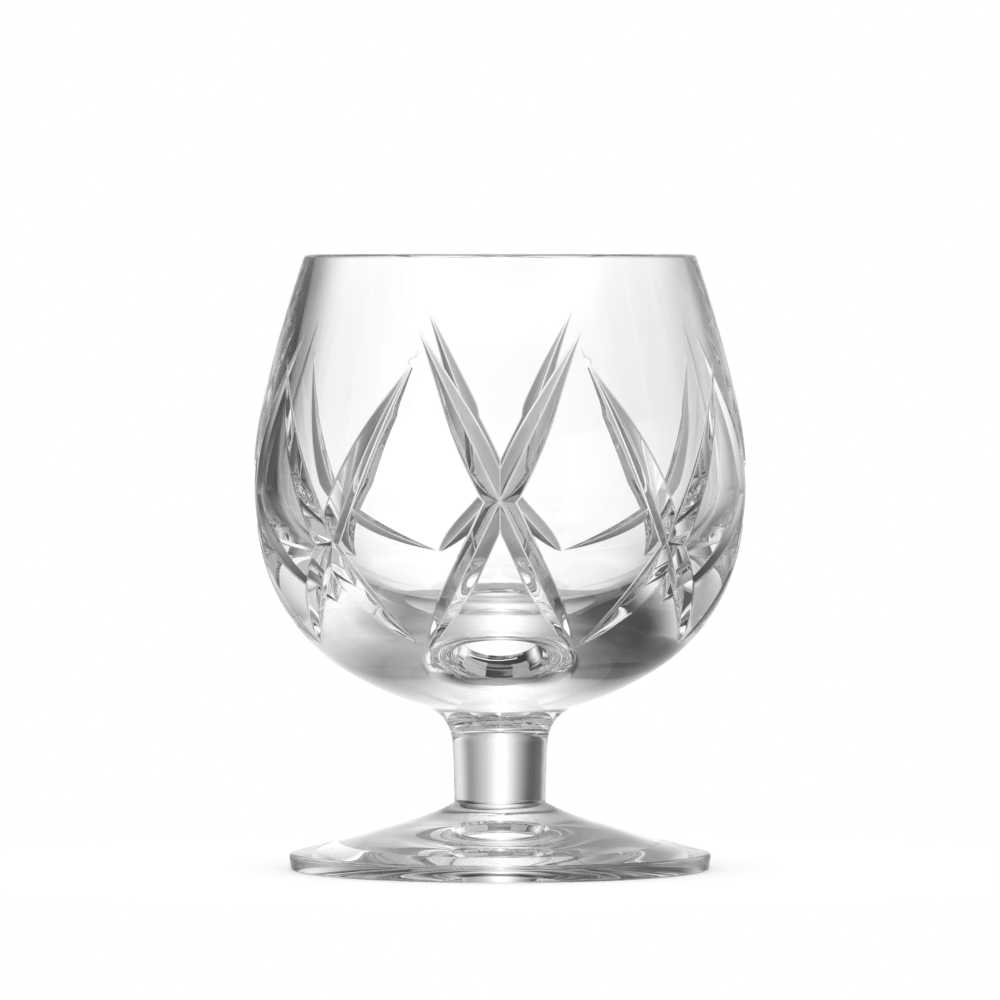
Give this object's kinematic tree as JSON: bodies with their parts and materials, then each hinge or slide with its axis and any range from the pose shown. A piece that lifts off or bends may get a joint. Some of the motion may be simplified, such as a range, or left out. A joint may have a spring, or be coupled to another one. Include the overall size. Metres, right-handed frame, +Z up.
{
  "type": "brandy snifter",
  "caption": "Short-stemmed brandy snifter of clear cut crystal: a round bowl that narrows to its rim, with crossing mitre grooves, a short solid stem and a conical foot.",
  "frame": {"origin": "centre of the foot, on the plane it stands on", "axes": "+Z up along the glass's axis; -Y is the side the picture shows, where the middle of a tall cross faces the viewer; +X is to the right in it"},
  "size_m": [0.0958, 0.0958, 0.12],
  "materials": {
    "bowl_crystal": "clear polished lead crystal, with ground and polished grooves",
    "stem_crystal": "clear polished lead crystal",
    "foot_crystal": "clear polished lead crystal"
  },
  "bodies": {
    "root": {"bowl": "bowl_crystal", "stem": "stem_crystal", "foot": "foot_crystal"}
  },
  "joints": []
}
